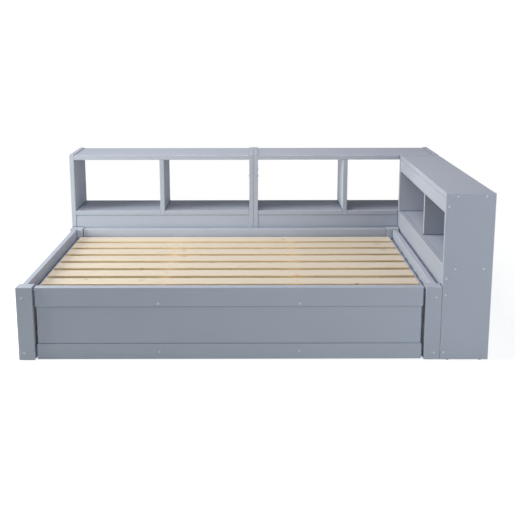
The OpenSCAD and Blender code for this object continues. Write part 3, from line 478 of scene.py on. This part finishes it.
middle = {n: (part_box(n)[0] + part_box(n)[1]) / 2 for n in nodes}
front_y, rear_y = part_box("side_front_end")[0].y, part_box("side_rear_end")[1].y
quarter_y = [front_y + (rear_y - front_y) * share for share in (0.25, 0.75)]
ledger_low, ledger_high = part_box("slat_ledger_left")
shelf_low, shelf_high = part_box("side_shelf")
slat_low, slat_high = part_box("slat_1")
on_ledger = (slat_low.x + ledger_high.x) / 2
slat_rows = [on_ledger, middle["cross_beam_left"].x, middle["cross_beam_right"].x,
             slat_low.x + slat_high.x - on_ledger]
cam_rows = [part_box("back_a_shelf_left")[0].y + cam_in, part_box("back_a_shelf_left")[1].y - cam_in]
side_top_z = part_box("side_top")[1].z
screws = [((x, middle[f"slat_{i}"].y, slat_high.z), (0, 0, 1)) for x in slat_rows for i in range(1, 9)]
for share in (0.1, 0.3, 0.5, 0.7, 0.9):
    y = ledger_low.y + share * (ledger_high.y - ledger_low.y)
    screws.append(((ledger_high.x, y, middle["slat_ledger_left"].z), (1, 0, 0)))
    screws.append(((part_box("slat_ledger_right")[0].x, y, middle["slat_ledger_left"].z), (-1, 0, 0)))
for unit in ("back_a", "back_b"):
    for y in cam_rows:
        screws.append(((middle[unit + "_top"].x, y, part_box(unit + "_top")[1].z), (0, 0, 1)))
    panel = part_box(unit + "_panel")[0]
    for z in (panel.z + lower_screw_in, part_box("back_top_rail")[1].z - lower_screw_in):
        screws.append(((middle[unit + "_top"].x, panel.y, z), (0, -1, 0)))
for y in quarter_y:
    screws.append(((middle["side_upper_fascia"].x, y, side_top_z), (0, 0, 1)))
    screws.append(((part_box("side_outer_panel")[1].x, y, middle["side_shelf"].z), (1, 0, 0)))
for x in (shelf_low.x + end_screw_in, shelf_high.x - end_screw_in):
    screws.append(((x, middle["side_top"].y, side_top_z), (0, 0, 1)))
set_in("countersunk_screws", [wood_screw(screw_length)], [s[0] for s in screws], [s[1] for s in screws],
       gilt_coat, "wood_screws")

# Caps
# Round plastic plugs, pressed into the counterbores over the bolt and screw heads. The real ones are
# coloured to match the paint; here they are a paler grey, a painted highlight for the light their
# domes catch. Each has a raised rim, a ring groove darkened with painted shade and a low dome. Those
# between two boards that touch are flat and lie just under the surface.
# Both cap greys are paler than the paint: a painted highlight.
cap_highlight_grey = (0.650, 0.670, 0.740, 1.0)
cap_highlight_patch = (0.540, 0.562, 0.640, 1.0)
cap_r, cap_edge, domed_from = 0.0075, 0.0070, 0.006
seat_play = 0.003


def solids_in(name):
    """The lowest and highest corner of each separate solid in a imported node. Corners at one place
    are one, and each triangle hands on the lowest label of its three until none changes."""
    mesh = nodes[name].data
    points = np.empty(3 * len(mesh.vertices), np.float32)
    corners = np.empty(len(mesh.loops), np.int32)
    mesh.vertices.foreach_get("co", points)
    mesh.loops.foreach_get("vertex_index", corners)
    points = points.reshape(-1, 3)
    places, same = np.unique(points, axis=0, return_inverse=True)
    triangles = same.reshape(-1)[corners].reshape(-1, 3)
    label = np.arange(len(places))
    while True:
        lower = label.copy()
        np.minimum.at(lower, triangles, label[triangles].min(1)[:, None])
        if (lower == label).all():
            break
        label = lower
    return [(places[label == k].min(0), places[label == k].max(0)) for k in np.unique(label)]


domed = [(0.0006, 0), (0.0018, -0.00004), (0.0030, -0.00018), (0.0042, -0.0004), (0.0050, -0.0007),
         (0.0054, -0.0012), (0.0058, -0.0012), (0.0062, -0.0007), (0.0067, -0.00065), (0.0071, -0.0009),
         (0.0074, -0.0014), (cap_r, -0.0020), (cap_r, -0.0068), (cap_edge, -0.0070)]
flush = [(0.0010, 0), (0.0030, 0), (0.0050, 0), (0.0054, -0.0004), (0.0058, -0.0004), (0.0062, 0),
         (0.0070, 0), (0.0074, -0.0002), (cap_r, -0.0006), (cap_r, -0.0048), (cap_edge, -0.0050)]
holders = [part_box(n) for kind in ("post_", "_end", "_rail") for n in nodes if kind in n]
cap_seats = {"domed": [], "flush": []}


def holds(box, place):
    """Whether the place is in the box, or within the play of it."""
    return all(box[0][i] - seat_play < place[i] < box[1][i] + seat_play for i in range(3))


for low, high in solids_in("bolt_caps"):
    axis = int(np.argmin(high - low))
    centre = Vector((low + high) / 2)
    holder = next(box for box in holders if holds(box, centre))
    way = 1 if centre[axis] > (holder[0][axis] + holder[1][axis]) / 2 else -1
    outward = [0, 0, 0]
    outward[axis] = way
    centre[axis] = (high if way > 0 else low)[axis]
    cap_seats["domed" if (high - low)[axis] > domed_from else "flush"].append((centre, outward))
cap_plastic = shader_on(
    "cap_plastic", moulded, {"Tone": cap_highlight_grey, "Patch": cap_highlight_patch, "PaintedShade": painted_shade_grey}, plastic_relief)
for kind, rings in (("domed", domed), ("flush", flush)):
    centres, outwards = zip(*cap_seats[kind])
    set_in(kind + "_caps", [lathe(*np.array(rings).T, spokes=32)], centres, outwards,
           cap_plastic, "bolt_caps")

# Shelf cams
# Die-cast cams in the shelf tops, turned by a blade in their slot. Each grips the head of a steel
# pin that comes out of the upright, and pulls the shelf against it.
cam_r, cam_h, pin_r = 0.0060, 0.0200, 0.0030
slot_deep, slot_half, ring_deep = 0.0018, 0.0010, 0.0004
cam_from_end, pin_sunk = 0.050, 0.0005


def cam_slot(x, y, k):
    """A straight groove across the top, and a shallow ring inside the rim."""
    groove = slot_deep * np.clip((slot_half - abs(y)) / 0.0004, 0, 1) * (np.hypot(x, y) < 0.0051)
    return np.where(k < 7, np.maximum(groove, ring_deep * (np.hypot(x, y) < 0.0046)), 0)


cam_rings = [(0.0008, 0), (0.0016, 0), (0.0026, 0), (0.0036, 0), (0.0044, 0), (0.0048, 0), (0.0052, 0),
             (cam_r - 0.0002, 0), (cam_r, -0.0002), (cam_r, -cam_h), (0.0030, -cam_h)]
pin_rings = [(0.0015, 0.0), (0.0022, 0.0), (0.0022, -0.004), (pin_r, -0.0045), (pin_r, -0.0490),
             (0.0024, -0.0500), (0.0024, -0.0580), (0.0010, -0.0595)]
cam = lathe(*np.array(cam_rings).T, cam_slot, spokes=32)
pin = lathe(*np.array(pin_rings).T, spokes=16)
cam_places, pin_places, pin_ways = [], [], []
for unit in ("back_a", "back_b"):
    for side in ("left", "right"):
        low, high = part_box(f"{unit}_shelf_{side}")
        for x, way in ((low.x + cam_from_end, 1), (high.x - cam_from_end, -1)):
            for y in cam_rows:
                cam_places.append((x, y, high.z))
                pin_places.append((x - pin_sunk * way, y, (low.z + high.z) / 2))
                pin_ways.append((way, 0, 0))
set_in("shelf_cam_discs", [cam], cam_places, [(0, 0, 1)] * len(cam_places),
       gilt_coat, "shelf_cams")
set_in("shelf_cam_pins", [pin], pin_places, pin_ways, gilt_coat, "shelf_cams")

# Unit connectors
# Sleeve bolts of browned steel through the two end boards that meet behind the middle of the bed,
# each with a low round head and a hexagon recess on both sides.
connector_r, barrel_r, connector_t = 0.0070, 0.0040, 0.0030
connector_in, connector_levels = 0.060, (0.230, 0.706)
hexagon_deep, hexagon_half = 0.0020, 0.0027
browned_steel = (0.240, 0.220, 0.195, 1.0)
browned_shade = (0.130, 0.120, 0.110, 1.0)


def hexagon_recess(x, y, k):
    """Inside a hexagon 5 mm across its flats, both ends are sunk by 2 mm."""
    across = np.max([abs(x * np.cos(a) + y * np.sin(a)) for a in np.radians([0, 60, 120])], axis=0)
    deep = hexagon_deep * np.clip((hexagon_half - across) / 0.0004, 0, 1)
    return np.where(k < 6, deep, np.where(k > 13, -deep, 0))


def connector(reach):
    """Head, sleeve and head in one turned shape, as long as both boards and the two heads."""
    end = [(0.0012, 0), (0.0022, 0), (0.0026, 0), (0.0029, 0), (0.0034, 0), (0.0050, 0),
           (connector_r - 0.0008, -0.0002), (connector_r, -0.0010), (connector_r, -connector_t),
           (barrel_r, -connector_t)]
    radius, height = np.array(end).T
    full = -reach - 2 * connector_t
    return lathe(np.concatenate([radius, radius[::-1]]),
                 np.concatenate([height, full - height[::-1]]), hexagon_recess, spokes=36)


split_low, split_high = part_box("back_a_end_right")[0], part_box("back_b_end_left")[1]
sleeve = connector(split_high.x - split_low.x)
connector_places = [(split_high.x + connector_t, y, z) for z in connector_levels
                    for y in (split_low.y + connector_in, split_high.y - connector_in)]
browned_coat = shader_on(
    "browned_steel", plating, {"Bright": browned_steel, "Dull": browned_shade}, metal_relief, Metallic=1.0)
set_in("connector_sleeves", [sleeve], connector_places, [(1, 0, 0)] * len(connector_places),
       browned_coat, "unit_connectors")

# Studio
# A pale floor that keeps the soft shadow and turns white further off, three large soft lamps and a
# faint even sky. White is shown to the camera and in gloss alone. Two low lamps light the back and the
# outer side of the right bookcase, which makes one divider much lighter in the camera's view too.
white = (1.0, 1.0, 1.0, 1.0)
sky_blue, sky_level = (0.76, 1.0, 1.08, 1.0), 0.10
floor_grey, shown_grey, floor_lift = (0.42, 0.42, 0.42, 1.0), (0.50, 0.50, 0.50, 1.0), 0.78
floor_half, floor_z = 30.0, -0.0003
side_from, side_to, front_from, front_to, far_from, far_to = 1.11, 1.17, 0.89, 0.95, 1.7, 3.0
middle_of_bed = (0.1, 0.0, 0.5)
floor_mesh = bpy.data.meshes.new("floor")
floor_corners = [(x * floor_half, y * floor_half, floor_z) for x, y in ((-1, -1), (1, -1), (1, 1), (-1, 1))]
floor_mesh.from_pydata(floor_corners, [], [(0, 1, 2, 3)])
floor = bpy.data.objects.new("floor", floor_mesh)
bpy.context.scene.collection.objects.link(floor)


def seen_directly(tree):
    """1 for rays from the camera, from gloss or through glass, and 0 for the rays that light things."""
    path = put(tree, "ShaderNodeLightPath").outputs
    seen = calc(tree, "MAXIMUM", path["Is Camera Ray"], path["Is Glossy Ray"])
    return calc(tree, "MAXIMUM", seen, path["Is Transmission Ray"])


ground = bpy.data.materials.new("pale_floor")
ground.use_nodes = True
tree = ground.node_tree
tree.nodes.remove(tree.nodes["Principled BSDF"])
matt = put(tree, "ShaderNodeBsdfDiffuse", {"Color": floor_grey})
seen_matt = put(tree, "ShaderNodeBsdfDiffuse", {"Color": shown_grey})
place = put(tree, "ShaderNodeTexCoord").outputs["Object"]
side, depth, _ = put(tree, "ShaderNodeSeparateXYZ", {0: along(tree, "ABSOLUTE", place)}).outputs
# Inside the bed's footprint the white lift is left out, so the floor there shows darker: painted shade under
# the bed.
beside = ramp(tree, side, side_from, side_to, 0.0, 1.0)
open_floor = calc(tree, "MAXIMUM", beside, ramp(tree, depth, front_from, front_to, 0.0, 1.0))
lift = put(tree, "ShaderNodeEmission", {
    "Color": white, "Strength": calc(tree, "MULTIPLY", open_floor, floor_lift)})
shown = put(tree, "ShaderNodeAddShader", {0: seen_matt.outputs[0], 1: lift.outputs[0]})
plain = put(tree, "ShaderNodeEmission", {"Color": white, "Strength": 1.0})
out = put(tree, "ShaderNodeVectorMath", {0: place}, operation="LENGTH").outputs["Value"]
far_off = ramp(tree, out, far_from, far_to, 0.0, 1.0)
shown = put(tree, "ShaderNodeMixShader", {0: far_off, 1: shown.outputs[0], 2: plain.outputs[0]})
mixed = put(tree, "ShaderNodeMixShader", {0: seen_directly(tree), 1: matt.outputs[0], 2: shown.outputs[0]})
tree.links.new(mixed.outputs[0], tree.nodes["Material Output"].inputs["Surface"])
floor_mesh.materials.append(ground)

world = bpy.data.worlds.new("studio")
bpy.context.scene.world = world
world.use_nodes = True
tree = world.node_tree
sky = tree.nodes["Background"]
sky.inputs["Color"].default_value = sky_blue
sky.inputs["Strength"].default_value = sky_level
backdrop = put(tree, "ShaderNodeBackground", {"Color": white, "Strength": 1.0})
mixed = put(tree, "ShaderNodeMixShader", {0: seen_directly(tree), 1: sky.outputs[0], 2: backdrop.outputs[0]})
tree.links.new(mixed.outputs[0], tree.nodes["World Output"].inputs["Surface"])


def soft_lamp(name, at, towards, size, power, colour):
    """A flat rectangular lamp at a point, turned to face another."""
    data = bpy.data.lights.new(name, "AREA")
    data.shape = "RECTANGLE"
    data.size, data.size_y = size
    data.energy, data.color = power, colour
    lamp = bpy.data.objects.new(name, data)
    lamp.location = at
    lamp.rotation_euler = (Vector(towards) - Vector(at)).to_track_quat("-Z", "Y").to_euler()
    bpy.context.scene.collection.objects.link(lamp)


soft_lamp("overhead", (-0.8, -0.2, 3.6), middle_of_bed, (2.6, 2.0), 82.0, (1.0, 0.975, 0.976))
soft_lamp("from_the_left", (-3.55, -0.8, 1.25), middle_of_bed, (1.6, 1.4), 108.0, (0.950, 1.0, 0.905))
soft_lamp("front_fill", (2.5, -5.0, 1.2), middle_of_bed, (2.4, 1.8), 107.0, (0.951, 1.0, 0.995))
soft_lamp("low_behind", (-2.6, 4.6, 0.26), (-0.2, 0.9, 0.30), (2.4, 0.4), 80.0, (1.0, 1.0, 1.0))
soft_lamp("low_right", (4.4, -0.1, 0.30), (1.2, -0.1, 0.40), (1.4, 0.5), 50.0, (1.0, 1.0, 1.0))

# Camera
# It stands 4.6 m in front of the bed at 1.6 m, looking down by 13 degrees.
eye = (0.00813, -5.57532, 1.60485)
sensor_mm, lens_mm = 36.0, 67.0855
pitch, yaw, roll = math.radians(13.127), math.radians(0.153), math.radians(0.0625)
ahead = Vector((math.sin(yaw) * math.cos(pitch), math.cos(yaw) * math.cos(pitch), -math.sin(pitch)))
right = Vector((math.cos(yaw), -math.sin(yaw), 0.0))
down = ahead.cross(right)
right, down = (math.cos(roll) * right + math.sin(roll) * down, math.cos(roll) * down - math.sin(roll) * right)
view = Matrix((right, -down, -ahead)).transposed().to_4x4()
view.translation = eye
camera_data = bpy.data.cameras.new("camera")
camera_data.sensor_width = sensor_mm
camera_data.lens = lens_mm
camera = bpy.data.objects.new("camera", camera_data)
camera.matrix_world = view
bpy.context.scene.collection.objects.link(camera)
bpy.context.scene.camera = camera
bpy.context.scene.view_settings.view_transform = "Standard"
